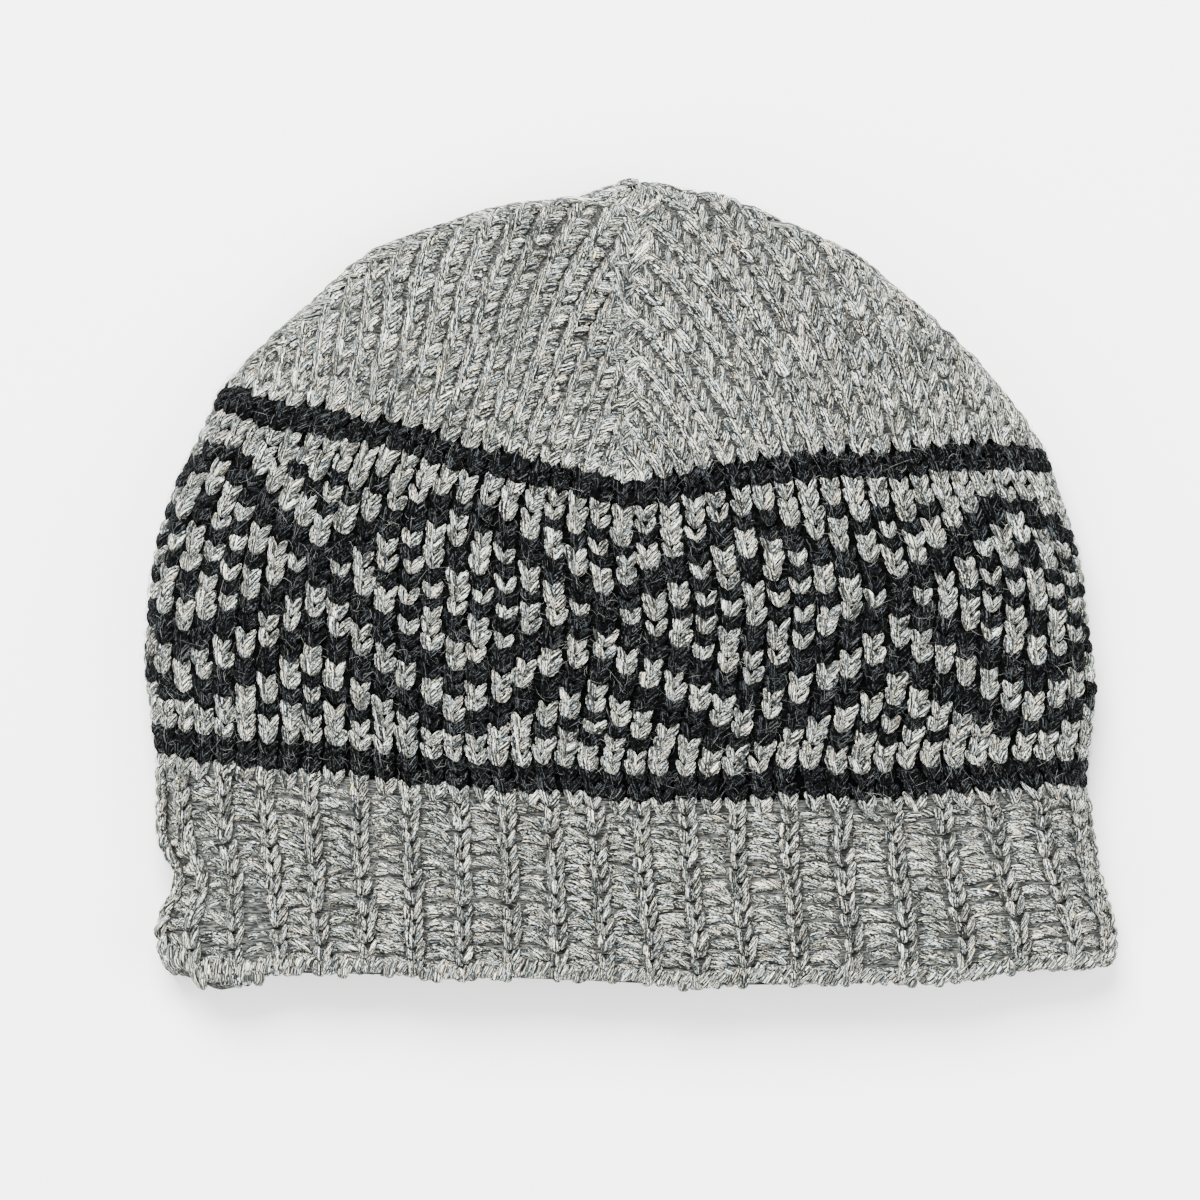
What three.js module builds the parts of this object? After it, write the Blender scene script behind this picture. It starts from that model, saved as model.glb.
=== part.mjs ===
// A knitted wool beanie, lying flat on its back with the crown towards +Y.
// The fabric is one tube. Every point of it is named by a course, counted upwards from
// the hem, and a wale, counted round the hat from the start of the round.
import * as THREE from 'three';

// Sizes in millimetres.
const brimWidth = 240;
const hatLength = 203.5;
const hemDrop = 100.2;
const wall = 4;
const frontLoft = 19;
const foldHeight = 9;
const restingSink = 0.35;
const zoneGap = 0.3;
const ribDepth = 1.6;

// How square the lying tube's section is, above the side folds and below them.
const frontSquareness = 3;
const backSquareness = 5;

// Wales, counted from the start of the round, which lies one wale in front of the left fold.
const walesAround = 84;
const leftFold = -1;
const frontCentre = 21;
const rightFold = 42;

// Courses at which one knit zone ends and the next begins.
const ribTop = 12;
const brimTop = 13;
const lowerStripeTop = 15;
const bandTop = 36;
const upperStripeTop = 38;
const tip = 60;
const hollowTip = 58.2;
const lastFullCourse = 58;
const closingCourse = 59.4;
const jogFade = 12;
const courseHeight = hatLength / tip;

// The hem sags into a rounded lobe beside the left fold, and the fold is tucked in above it.
// These are places and widths across the hat, where the left fold is -1 and the right fold 1.
const lobeCentre = -0.9;
const lobeSpan = 0.075;
const tuckSpan = 0.12;

// The photographed courses, as seen from the front. leftX, midX and rightX are shares of half
// the brim's width, and leftY, midY and rightY are shares of the hat's length above the hem.
// bowLeft and bowRight are how far a course rises over the straight line between two of these
// points, as shares of the length. loft and sink are the shares of the front loft and of the
// fold height that the tube fills there, lobe is the sag of the hem's left corner, and tuck is
// how far the left fold is drawn in beside it, as a share of half the brim's width.
const columns = ['course', 'leftX', 'leftY', 'midX', 'midY', 'rightX', 'rightY',
  'bowLeft', 'bowRight', 'loft', 'sink', 'lobe', 'tuck'];
const sections = [
  [0, -0.985, 0.010, 0.001, 0.000, 1.014, 0.021, 0.004, -0.012, 0.76, 1, -0.022, 0.022],
  [1, -0.990, 0.031, 0.001, 0.017, 1.026, 0.037, 0.003, -0.011, 0.78, 1, -0.014, 0.001],
  [3, -0.990, 0.072, 0.000, 0.053, 1.024, 0.072, 0.000, -0.010, 0.80, 1, -0.003, -0.008],
  [5.5, -0.991, 0.128, -0.001, 0.097, 1.003, 0.115, 0.000, -0.008, 0.82, 1, 0, 0.030],
  [8, -0.994, 0.180, -0.002, 0.142, 0.982, 0.159, 0.000, -0.006, 0.86, 1, 0, -0.002],
  [13, -1.001, 0.281, -0.003, 0.228, 0.967, 0.245, -0.004, -0.007, 0.94, 1, 0, 0],
  [20, -1.024, 0.404, -0.007, 0.335, 0.984, 0.358, -0.001, -0.001, 1, 1, 0, 0],
  [25, -1.014, 0.499, -0.009, 0.414, 0.967, 0.445, 0.000, 0.004, 1, 1, 0, 0],
  [30, -0.976, 0.595, -0.012, 0.493, 0.951, 0.530, 0.001, 0.009, 1, 1, 0, 0],
  [36, -0.890, 0.709, -0.014, 0.588, 0.892, 0.634, 0.004, 0.014, 0.96, 1, 0, 0],
  [38, -0.864, 0.740, -0.014, 0.620, 0.875, 0.666, 0.004, 0.014, 0.94, 1, 0, 0],
  [41, -0.767, 0.799, -0.012, 0.672, 0.791, 0.737, 0.008, 0.014, 0.90, 1, 0, 0],
  [44, -0.666, 0.852, -0.007, 0.723, 0.692, 0.800, 0.011, 0.014, 0.84, 1, 0, 0],
  [47, -0.565, 0.904, -0.005, 0.775, 0.582, 0.858, 0.012, 0.013, 0.76, 1, 0, 0],
  [50, -0.439, 0.937, -0.003, 0.827, 0.466, 0.912, 0.010, 0.011, 0.66, 1, 0, 0],
  [53, -0.308, 0.963, -0.001, 0.879, 0.334, 0.948, 0.007, 0.008, 0.56, 0.97, 0, 0],
  [56, -0.174, 0.976, 0.001, 0.930, 0.199, 0.983, 0.004, 0.005, 0.46, 0.88, 0, 0],
  [58, -0.083, 0.985, 0.003, 0.965, 0.102, 0.989, 0.001, 0.001, 0.38, 0.74, 0, 0],
  [59.4, -0.024, 0.994, 0.004, 0.990, 0.030, 0.996, 0, 0, 0.24, 0.46, 0, 0],
  [60, 0.005, 1.000, 0.005, 1.000, 0.005, 1.000, 0, 0, 0, 0, 0, 0],
];

function slopeAt(rowNumber, column) {
  const before = sections[Math.max(rowNumber - 1, 0)];
  const after = sections[Math.min(rowNumber + 1, sections.length - 1)];
  return (after[column] - before[column]) / (after[0] - before[0]);
}

// Reads every column of the table at one course, on smooth curves through its rows.
function sectionAt(course) {
  const reached = THREE.MathUtils.clamp(course, 0, tip);
  let below = 0;
  while (below < sections.length - 2 && sections[below + 1][0] < reached) {
    below += 1;
  }
  const start = sections[below];
  const end = sections[below + 1];
  const span = end[0] - start[0];
  const t = (reached - start[0]) / span;
  const value = {};
  columns.forEach((name, column) => {
    const rise = slopeAt(below, column) * span;
    const fall = slopeAt(below + 1, column) * span;
    value[name] = start[column] * (1 + 2 * t) * (1 - t) ** 2 + rise * t * (1 - t) ** 2
      + end[column] * t * t * (3 - 2 * t) - fall * t * t * (1 - t);
  });
  return value;
}

function onHat(xShare, yShare) {
  return new THREE.Vector2(xShare * brimWidth / 2, yShare * hatLength - hemDrop);
}

// The left fold, the front centre line and the right fold at one course. The inner skin's
// folds lie one wall inside the outer ones, square to the outline.
function courseEnds(course, inset) {
  const section = sectionAt(course);
  const ends = {
    left: onHat(section.leftX, section.leftY),
    mid: onHat(section.midX, section.midY),
    right: onHat(section.rightX, section.rightY),
  };
  if (inset > 0) {
    const step = 0.25;
    const low = sectionAt(course - step);
    const high = sectionAt(course + step);
    const climbLeft = onHat(high.leftX, high.leftY).sub(onHat(low.leftX, low.leftY)).normalize();
    const climbRight = onHat(high.rightX, high.rightY).sub(onHat(low.rightX, low.rightY)).normalize();
    ends.left.add(new THREE.Vector2(climbLeft.y, -climbLeft.x).multiplyScalar(inset));
    ends.right.add(new THREE.Vector2(-climbRight.y, climbRight.x).multiplyScalar(inset));
    const closing = Math.max(0, (course - upperStripeTop) / (tip - upperStripeTop));
    ends.mid.y -= inset * closing ** 2;
  }
  return { section, ends };
}

// One point of the lying tube. across runs from -1 at the left fold to 1 at the right fold.
function tubePoint(place, across, onFront, inset) {
  const { section, ends } = place;
  const fromLeft = across < 0;
  const edge = fromLeft ? ends.left : ends.right;
  const share = 1 - Math.abs(across);
  const bow = (fromLeft ? section.bowLeft : section.bowRight) * hatLength;
  const flat = edge.clone().lerp(ends.mid, share);
  flat.y += bow * 4 * share * (1 - share);
  flat.y += section.lobe * hatLength * Math.exp(-(((across - lobeCentre) / lobeSpan) ** 2));
  flat.x += section.tuck * brimWidth / 2 * Math.exp(-(((across + 1) / tuckSpan) ** 2));
  const power = onFront ? frontSquareness : backSquareness;
  const fullness = Math.max(0, 1 - Math.abs(across) ** power) ** (1 / power);
  if (onFront) {
    const loft = Math.max(section.loft * frontLoft - inset, section.loft * frontLoft * 0.2);
    return new THREE.Vector3(flat.x, flat.y, foldHeight + loft * fullness);
  }
  const depth = section.sink * (foldHeight + restingSink);
  const sunk = Math.max(depth - inset, depth * 0.2);
  return new THREE.Vector3(flat.x, flat.y, Math.max(inset, foldHeight - sunk * fullness));
}

// The four quarters of a round: from a fold to a centre line, on the front and on the back.
const backCentre = (rightFold + leftFold + walesAround) / 2;
const quarters = [
  { from: leftFold, to: frontCentre, start: -1, end: 0, onFront: true },
  { from: frontCentre, to: rightFold, start: 0, end: 1, onFront: true },
  { from: rightFold, to: backCentre, start: 1, end: 0, onFront: false },
  { from: backCentre, to: leftFold + walesAround, start: 0, end: -1, onFront: false },
];
const stepsInQuarter = 32;

// Wales are spaced evenly along the fabric, so they crowd together where it turns at a fold.
function acrossAt(wale, quarter, place) {
  const wanted = (wale - quarter.from) / (quarter.to - quarter.from);
  const power = quarter.onFront ? frontSquareness : backSquareness;
  const lengths = [0];
  const stations = [];
  let previous = null;
  for (let step = 0; step <= stepsInQuarter; step += 1) {
    const turn = (step / stepsInQuarter) * Math.PI / 2;
    const angle = quarter.start === 0 ? turn : Math.PI / 2 - turn;
    const side = quarter.start + quarter.end;
    const across = side * Math.abs(Math.sin(angle)) ** (2 / power);
    const point = tubePoint(place, across, quarter.onFront, 0);
    stations.push(across);
    if (previous) {
      lengths.push(lengths[step - 1] + point.distanceTo(previous));
    }
    previous = point;
  }
  const target = wanted * lengths[stepsInQuarter];
  let after = 1;
  while (after < stepsInQuarter && lengths[after] < target) {
    after += 1;
  }
  const part = (target - lengths[after - 1]) / (lengths[after] - lengths[after - 1]);
  return THREE.MathUtils.lerp(stations[after - 1], stations[after], part);
}

// The courses climb one course in each round, so they meet one course apart at its start.
function jogAt(wale, course) {
  const behind = (wale - rightFold) / (leftFold + walesAround - rightFold);
  const climb = wale > rightFold ? behind : Math.max(0, wale / leftFold);
  const faded = Math.min(1, course / jogFade, (tip - course) / jogFade);
  return climb * faded;
}

function fabricPoint(course, wale, inset) {
  const climbed = course + jogAt(wale, course);
  const quarter = quarters.find((one) => wale <= one.to) ?? quarters[3];
  const outer = courseEnds(climbed, 0);
  const across = acrossAt(wale, quarter, outer);
  const place = inset > 0 ? courseEnds(climbed, inset) : outer;
  return tubePoint(place, across, quarter.onFront, inset);
}

// A ring of points round the hat. walesPerPoint is the distance between them.
function ring(course, walesPerPoint, inset) {
  const points = [];
  const count = Math.round(walesAround / walesPerPoint);
  for (let index = 0; index < count; index += 1) {
    points.push(fabricPoint(course, leftFold + index * walesPerPoint, inset));
  }
  return points;
}

// A rib's crest is an even, knit wale and its valley the odd, purl wale beside it.
function ribbedRing(course, walesPerPoint) {
  const outer = ring(course, walesPerPoint, 0);
  const inner = ring(course, walesPerPoint, wall);
  return outer.map((point, index) => {
    const wale = leftFold + index * walesPerPoint;
    const valley = 0.5 - 0.5 * Math.cos(wale * Math.PI);
    return point.lerp(inner[index], valley * ribDepth / wall);
  });
}

function evenSteps(from, to, count) {
  return Array.from({ length: count + 1 }, (_, step) => from + (to - from) * step / count);
}

// Joins two rings, of which the first may have several points for each one of the second.
function bridge(triangles, fine, coarse, flipped) {
  const ratio = fine.length / coarse.length;
  const add = (a, b, c) => triangles.push(flipped ? [a, b, c] : [a, c, b]);
  coarse.forEach((corner, index) => {
    const next = coarse[(index + 1) % coarse.length];
    const middle = Math.floor(ratio / 2);
    for (let step = 0; step < ratio; step += 1) {
      const a = fine[(index * ratio + step) % fine.length];
      const b = fine[(index * ratio + step + 1) % fine.length];
      add(a, b, step < middle ? corner : next);
    }
    add(fine[(index * ratio + middle) % fine.length], next, corner);
  });
}

function closeRing(triangles, points, flipped) {
  const centre = new THREE.Vector3();
  points.forEach((point) => centre.add(point));
  centre.divideScalar(points.length);
  points.forEach((point, index) => {
    const next = points[(index + 1) % points.length];
    triangles.push(flipped ? [point, next, centre] : [point, centre, next]);
  });
}

// A tube wall from its outer rings, bottom to top, and its inner rings, bottom to top.
function tubeWall(outer, inner, closed) {
  const triangles = [];
  for (let level = 0; level + 1 < outer.length; level += 1) {
    bridge(triangles, outer[level], outer[level + 1], true);
  }
  for (let level = 0; level + 1 < inner.length; level += 1) {
    bridge(triangles, inner[level], inner[level + 1], false);
  }
  bridge(triangles, outer[0], inner[0], false);
  if (closed) {
    closeRing(triangles, outer[outer.length - 1], true);
    closeRing(triangles, inner[inner.length - 1], false);
  } else {
    bridge(triangles, outer[outer.length - 1], inner[inner.length - 1], true);
  }
  const geometry = new THREE.BufferGeometry();
  const positions = triangles.flat().flatMap((point) => [point.x, point.y, point.z]);
  geometry.setAttribute('position', new THREE.Float32BufferAttribute(positions, 3));
  geometry.computeVertexNormals();
  return geometry;
}

const hat = new THREE.Group();

function addZone(name, geometry, colour, roughness) {
  const material = new THREE.MeshStandardMaterial({ color: colour, roughness, metalness: 0 });
  const mesh = new THREE.Mesh(geometry, material);
  mesh.name = name;
  hat.add(mesh);
}

const clearance = zoneGap / 2 / courseHeight;
const heatherGrey = 0x999b98;
const black = 0x1b1d1f;
const twoColour = 0x606261;

function plainZone(from, to, strips) {
  const courses = evenSteps(from + clearance, to - clearance, strips);
  const outer = courses.map((course) => ring(course, 1, 0));
  const inner = courses.map((course) => ring(course, 1, wall));
  return tubeWall(outer, inner, false);
}

function ribbedBrim() {
  const ribbed = evenSteps(0, ribTop, 7).map((course) => ribbedRing(course, 0.5));
  ribbed.push(ring(brimTop - clearance, 1, 0));
  const inside = evenSteps(0, brimTop - clearance, 5).map((course) => ring(course, 1, wall));
  return tubeWall(ribbed, inside, false);
}

function closedCrown() {
  const bottom = upperStripeTop + clearance;
  const outer = evenSteps(bottom, lastFullCourse, 7).map((course) => ring(course, 1, 0));
  outer.push(ring(closingCourse, 1, 0));
  const inner = evenSteps(bottom, hollowTip, 7).map((course) => ring(course, 1, wall));
  return tubeWall(outer, inner, true);
}

addZone('ribbed_brim', ribbedBrim(), heatherGrey, 0.95);
addZone('lower_stripe', plainZone(brimTop, lowerStripeTop, 1), black, 0.95);
addZone('patterned_band', plainZone(lowerStripeTop, bandTop, 5), twoColour, 0.95);
addZone('upper_stripe', plainZone(bandTop, upperStripeTop, 1), black, 0.95);
addZone('crown', closedCrown(), heatherGrey, 0.95);

export default hat;
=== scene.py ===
import math

import bpy
import numpy as np
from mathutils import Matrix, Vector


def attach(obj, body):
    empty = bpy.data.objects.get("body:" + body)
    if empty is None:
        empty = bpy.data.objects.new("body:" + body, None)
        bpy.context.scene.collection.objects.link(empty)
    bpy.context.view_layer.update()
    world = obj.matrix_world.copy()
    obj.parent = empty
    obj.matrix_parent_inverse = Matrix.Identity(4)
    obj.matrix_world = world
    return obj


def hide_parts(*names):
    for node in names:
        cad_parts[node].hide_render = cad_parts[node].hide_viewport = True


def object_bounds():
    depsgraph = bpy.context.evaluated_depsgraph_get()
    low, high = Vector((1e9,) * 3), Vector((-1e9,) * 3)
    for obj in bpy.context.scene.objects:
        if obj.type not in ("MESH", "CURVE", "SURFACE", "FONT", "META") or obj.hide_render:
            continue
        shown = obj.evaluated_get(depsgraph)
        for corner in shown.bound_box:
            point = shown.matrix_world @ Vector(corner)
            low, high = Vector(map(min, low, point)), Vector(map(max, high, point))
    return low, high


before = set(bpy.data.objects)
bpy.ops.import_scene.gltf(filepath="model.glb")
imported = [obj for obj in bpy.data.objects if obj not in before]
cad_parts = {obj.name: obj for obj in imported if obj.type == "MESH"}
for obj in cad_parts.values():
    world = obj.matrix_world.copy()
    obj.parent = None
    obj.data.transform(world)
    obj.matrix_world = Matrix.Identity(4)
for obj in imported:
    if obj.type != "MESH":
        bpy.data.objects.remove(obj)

# A hand-knitted wool beanie lying flat on its back, seen from above. The fabric is one
# tube: a course is a round of stitches, counted up from the hem, and a wale is a column of
# stitches, counted round the hat from the start of the round. Yarn is laid on it stitch by
# stitch. Sizes are in millimetres until a mesh is made.
MM = 0.001
cad_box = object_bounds()

BRIM_WIDTH = 240.0
HAT_LENGTH = 203.5
WALL = 4.0
FRONT_LOFT = 19.0
FOLD_HEIGHT = 9.0
RESTING_SINK = 0.35
FRONT_SQUARENESS = 3.0
BACK_SQUARENESS = 5.0

WALES = 84
LEFT_FOLD = -1.0
FRONT_CENTRE = 21.0
RIGHT_FOLD = 42.0
BACK_CENTRE = (RIGHT_FOLD + LEFT_FOLD + WALES) / 2

RIB_TOP = 12
BRIM_TOP = 13
LOWER_STRIPE_TOP = 15
BAND_TOP = 36
UPPER_STRIPE_TOP = 38
TIP = 60
JOG_FADE = 12.0

LOBE_CENTRE = -0.9
LOBE_SPAN = 0.075
TUCK_SPAN = 0.12

# The size of one stitch on the flat fabric, and the thickness of the yarn.
WALE_PITCH = 6.1
COURSE_PITCH = 3.4
YARN_WIDTH = 2.75
# Nothing lies lower than this over the floor: the yarn, and the fabric behind it.
YARN_CLEARANCE = 0.02
FABRIC_CLEARANCE = 0.4

# One row for each course that was read from the hat's outline and stripes. The x columns are
# shares of half the brim's width and the y columns shares of the hat's length.
SECTION_COLUMNS = ("course", "left_x", "left_y", "mid_x", "mid_y", "right_x", "right_y",
                   "bow_left", "bow_right", "loft", "sink", "lobe", "tuck")
SECTIONS = np.array([
    (0, -0.985, 0.010, 0.001, 0.000, 1.014, 0.021, 0.004, -0.012, 0.76, 1, -0.022, 0.022),
    (1, -0.990, 0.031, 0.001, 0.017, 1.026, 0.037, 0.003, -0.011, 0.78, 1, -0.014, 0.001),
    (3, -0.990, 0.072, 0.000, 0.053, 1.024, 0.072, 0.000, -0.010, 0.80, 1, -0.003, -0.008),
    (5.5, -0.991, 0.128, -0.001, 0.097, 1.003, 0.115, 0.000, -0.008, 0.82, 1, 0, 0.030),
    (8, -0.994, 0.180, -0.002, 0.142, 0.982, 0.159, 0.000, -0.006, 0.86, 1, 0, -0.002),
    (13, -1.001, 0.281, -0.003, 0.228, 0.967, 0.245, -0.004, -0.007, 0.94, 1, 0, 0),
    (20, -1.024, 0.404, -0.007, 0.335, 0.984, 0.358, -0.001, -0.001, 1, 1, 0, 0),
    (25, -1.014, 0.499, -0.009, 0.414, 0.967, 0.445, 0.000, 0.004, 1, 1, 0, 0),
    (30, -0.976, 0.595, -0.012, 0.493, 0.951, 0.530, 0.001, 0.009, 1, 1, 0, 0),
    (36, -0.890, 0.709, -0.014, 0.588, 0.892, 0.634, 0.004, 0.014, 0.96, 1, 0, 0),
    (38, -0.864, 0.740, -0.014, 0.620, 0.875, 0.666, 0.004, 0.014, 0.94, 1, 0, 0),
    (41, -0.767, 0.799, -0.012, 0.672, 0.791, 0.737, 0.008, 0.014, 0.90, 1, 0, 0),
    (44, -0.666, 0.852, -0.007, 0.723, 0.692, 0.800, 0.011, 0.014, 0.84, 1, 0, 0),
    (47, -0.565, 0.904, -0.005, 0.775, 0.582, 0.858, 0.012, 0.013, 0.76, 1, 0, 0),
    (50, -0.439, 0.937, -0.003, 0.827, 0.466, 0.912, 0.010, 0.011, 0.66, 1, 0, 0),
    (53, -0.308, 0.963, -0.001, 0.879, 0.334, 0.948, 0.007, 0.008, 0.56, 0.97, 0, 0),
    (56, -0.174, 0.976, 0.001, 0.930, 0.199, 0.983, 0.004, 0.005, 0.46, 0.88, 0, 0),
    (58, -0.083, 0.985, 0.003, 0.965, 0.102, 0.989, 0.001, 0.001, 0.38, 0.74, 0, 0),
    (59.4, -0.024, 0.994, 0.004, 0.990, 0.030, 0.996, 0, 0, 0.24, 0.46, 0, 0),
    (60, 0.005, 1.000, 0.005, 1.000, 0.005, 1.000, 0, 0, 0, 0, 0, 0),
])

# The patterned band's lattice, one repeat of 12 stitches by 21 courses, top course first.
# A mark is a black stitch and a dot a grey one.
CHART = (
    "............",
    "............",
    "#.#..###..#.",
    ".#..##.##..#",
    "#..##...##..",
    "..##..#..##.",
    ".##.#.#.#.##",
    "##...#.#...#",
    "#..##...##..",
    "##...#.#...#",
    ".##.#.#.#.##",
    "..##..#..##.",
    "#..##...##..",
    "##..##.##..#",
    ".##..###..##",
    "..##..#..##.",
    "#..##...##..",
    ".#..##.##..#",
    "#.#..###..#.",
    "............",
    "............",
)
CHART_START = 20

# How far the wales wander from even spacing, in wales, read where the lattice crosses and
# turns. Each row is for one course, and each column for one wale.
WANDER_WALES = (-1, 2, 8, 14, 20, 26, 32, 38, 45, 83)
WANDER_COURSES = (0, 12, 16, 27.5, 34, 38, 41, 60)
WANDER = np.array([
    (0, -0.75, -0.85, -0.37, -0.23, -0.15, 0.47, 1.30, 0, 0),
    (0, -0.75, -0.85, -0.40, -0.30, -0.25, 0.35, 1.10, 0, 0),
    (0, -0.30, -0.65, -0.60, -0.60, -0.55, -0.15, -0.10, 0, 0),
    (0, -0.20, -0.60, -0.20, 0.20, 0.60, 1.00, 0.70, 0, 0),
    (0, -0.20, -0.60, -0.65, -0.30, 0.60, 0.60, 0.40, 0, 0),
    (0, -0.10, -0.30, -0.35, -0.15, 0.30, 0.35, 0.20, 0, 0),
    (0, 0, 0, 0, 0, 0, 0, 0, 0, 0),
    (0, 0, 0, 0, 0, 0, 0, 0, 0, 0),
])

random = np.random.default_rng(84)


def section_at(course):
    """Every column of the table at these courses, on smooth curves through its rows."""
    at = SECTIONS[:, 0]
    before = np.vstack([SECTIONS[:1], SECTIONS[:-1]])
    after = np.vstack([SECTIONS[1:], SECTIONS[-1:]])
    slope = (after - before) / (after[:, :1] - before[:, :1])
    row = np.clip(np.searchsorted(at, course, side="right") - 1, 0, len(at) - 2)
    span = (at[row + 1] - at[row])[:, None]
    t = np.clip((course - at[row])[:, None] / span, 0, 1)
    values = SECTIONS[row] * (1 + 2 * t) * (1 - t) ** 2 + slope[row] * span * t * (1 - t) ** 2
    values += SECTIONS[row + 1] * t * t * (3 - 2 * t) - slope[row + 1] * span * t * t * (1 - t)
    return dict(zip(SECTION_COLUMNS, values.T))


def plan_point(section, side):
    """The left, mid or right point of these courses on the flat, in millimetres."""
    x = section[side + "_x"] * BRIM_WIDTH / 2
    y = section[side + "_y"] * HAT_LENGTH
    return np.stack([x, y], axis=-1)


def course_ends(course, inset):
    """The left fold, front centre and right fold of these courses, an inset inside the outline."""
    section = section_at(course)
    ends = {side: plan_point(section, side) for side in ("left", "mid", "right")}
    if inset > 0:
        step = 0.25
        low = section_at(np.clip(course - step, 0, TIP))
        high = section_at(np.clip(course + step, 0, TIP))
        for side, turn in (("left", 1), ("right", -1)):
            climb = plan_point(high, side) - plan_point(low, side)
            climb /= np.linalg.norm(climb, axis=-1, keepdims=True)
            ends[side] = ends[side] + turn * inset * np.stack([climb[:, 1], -climb[:, 0]], axis=-1)
        closing = np.clip((course - UPPER_STRIPE_TOP) / (TIP - UPPER_STRIPE_TOP), 0, 1)
        ends["mid"] = ends["mid"] - np.stack([0 * closing, inset * closing ** 2], axis=-1)
    return section, ends


def tube_points(place, across, on_front, inset, dented=True):
    """Points of the lying tube. across is -1 at the left fold and 1 at the right fold."""
    section, ends = place
    column = {name: values[:, None] for name, values in section.items()}
    from_left = across < 0
    edge = np.where(from_left[..., None], ends["left"][:, None], ends["right"][:, None])
    share = 1 - np.abs(across)
    bow = np.where(from_left, column["bow_left"], column["bow_right"]) * HAT_LENGTH
    flat = edge + (ends["mid"][:, None] - edge) * share[..., None]
    x = flat[..., 0]
    y = flat[..., 1] + bow * 4 * share * (1 - share)
    if dented:
        x = x + column["tuck"] * BRIM_WIDTH / 2 * np.exp(-((across + 1) / TUCK_SPAN) ** 2)
        y = y + column["lobe"] * HAT_LENGTH * np.exp(-((across - LOBE_CENTRE) / LOBE_SPAN) ** 2)
    power = FRONT_SQUARENESS if on_front else BACK_SQUARENESS
    fullness = np.clip(1 - np.abs(across) ** power, 0, 1) ** (1 / power)
    if on_front:
        loft = column["loft"] * FRONT_LOFT
        z = FOLD_HEIGHT + np.maximum(loft - inset, loft * 0.2) * fullness
    else:
        depth = column["sink"] * (FOLD_HEIGHT + RESTING_SINK)
        z = np.maximum(inset, FOLD_HEIGHT - np.maximum(depth - inset, depth * 0.2) * fullness)
    return np.stack([x, y, z], axis=-1)


# The fabric's outer and inner skins are worked out on a fine net of courses and wales.
NET_STEP = 0.25
NET_COURSES = np.arange(0, TIP + NET_STEP / 2, NET_STEP)
NET_WALES = np.arange(LEFT_FOLD, LEFT_FOLD + WALES + NET_STEP / 2, NET_STEP)
STATIONS = 49
# Each quarter of a round: its first and last wale, where it starts and ends across the hat,
# and whether it lies on the front.
QUARTERS = (
    (LEFT_FOLD, FRONT_CENTRE, -1, 0, True),
    (FRONT_CENTRE, RIGHT_FOLD, 0, 1, True),
    (RIGHT_FOLD, BACK_CENTRE, 1, 0, False),
    (BACK_CENTRE, LEFT_FOLD + WALES, 0, -1, False),
)


def skin_net(inset):
    """The skin at every net point, with wales spaced evenly along the fabric in each quarter."""
    outer = course_ends(NET_COURSES, 0)
    skin = course_ends(NET_COURSES, inset)
    net = np.zeros((len(NET_COURSES), len(NET_WALES), 3))
    for first, last, start, end, on_front in QUARTERS:
        power = FRONT_SQUARENESS if on_front else BACK_SQUARENESS
        turn = np.linspace(0, math.pi / 2, STATIONS)
        angle = turn if start == 0 else math.pi / 2 - turn
        across = (start + end) * np.abs(np.sin(angle)) ** (2 / power)
        across = np.broadcast_to(across, (len(NET_COURSES), STATIONS))
        points = tube_points(outer, across, on_front, 0, dented=False)
        steps = np.linalg.norm(np.diff(points, axis=1), axis=-1)
        lengths = np.concatenate([np.zeros((len(steps), 1)), np.cumsum(steps, axis=1)], axis=1)
        inside = (NET_WALES >= first) & (NET_WALES <= last)
        wanted = (NET_WALES[inside] - first) / (last - first)
        even = np.array([np.interp(wanted * length[-1], length, place)
                         for length, place in zip(lengths, across)])
        net[:, inside] = tube_points(skin, even, on_front, inset)
    return net


def fitted(net, reference):
    """The net stretched so that the reference net fills the box of the built part."""
    low = reference.reshape(-1, 3).min(axis=0)
    high = reference.reshape(-1, 3).max(axis=0)
    part_low = np.array(cad_box[0]) / MM
    part_high = np.array(cad_box[1]) / MM
    return part_low + (net - low) * (part_high - part_low) / (high - low)


def net_normals(net):
    """Outward directions at every net point."""
    wrapped = np.concatenate([net[:, -2:-1], net, net[:, 1:2]], axis=1)
    along_wales = np.gradient(net, axis=0)
    along_courses = (wrapped[:, 2:] - wrapped[:, :-2]) / 2
    normal = np.cross(along_courses, along_wales)
    length = np.linalg.norm(normal, axis=-1, keepdims=True)
    tip_way = np.array([0.0, 1.0, 0.0])
    return np.where(length > 1e-6, normal / np.maximum(length, 1e-6), tip_way)


outer_raw = skin_net(0)
OUTER = fitted(outer_raw, outer_raw)
INNER = fitted(skin_net(WALL), outer_raw)
NORMALS = net_normals(OUTER)


def read_net(net, course, wale):
    """The net's value at any course and wale, carried on straight below the hem."""
    row = np.clip(course, 0, TIP) / NET_STEP
    column = np.mod(wale - LEFT_FOLD, WALES) / NET_STEP
    r = np.minimum(row.astype(int), net.shape[0] - 2)
    c = np.minimum(column.astype(int), net.shape[1] - 2)
    a = (row - r)[..., None]
    b = (column - c)[..., None]
    value = (net[r, c] * (1 - a) * (1 - b) + net[r + 1, c] * a * (1 - b)
             + net[r, c + 1] * (1 - a) * b + net[r + 1, c + 1] * a * b)
    return value


def jog_at(wale, course):
    """Courses climb by one in each round, so they meet one apart where the round starts."""
    turned = np.mod(wale - LEFT_FOLD, WALES) + LEFT_FOLD
    behind = (turned - RIGHT_FOLD) / (LEFT_FOLD + WALES - RIGHT_FOLD)
    climb = np.where(turned > RIGHT_FOLD, behind, np.maximum(0, turned / LEFT_FOLD))
    faded = np.clip(np.minimum(course, TIP - course) / JOG_FADE, 0, 1)
    return climb * faded


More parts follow.
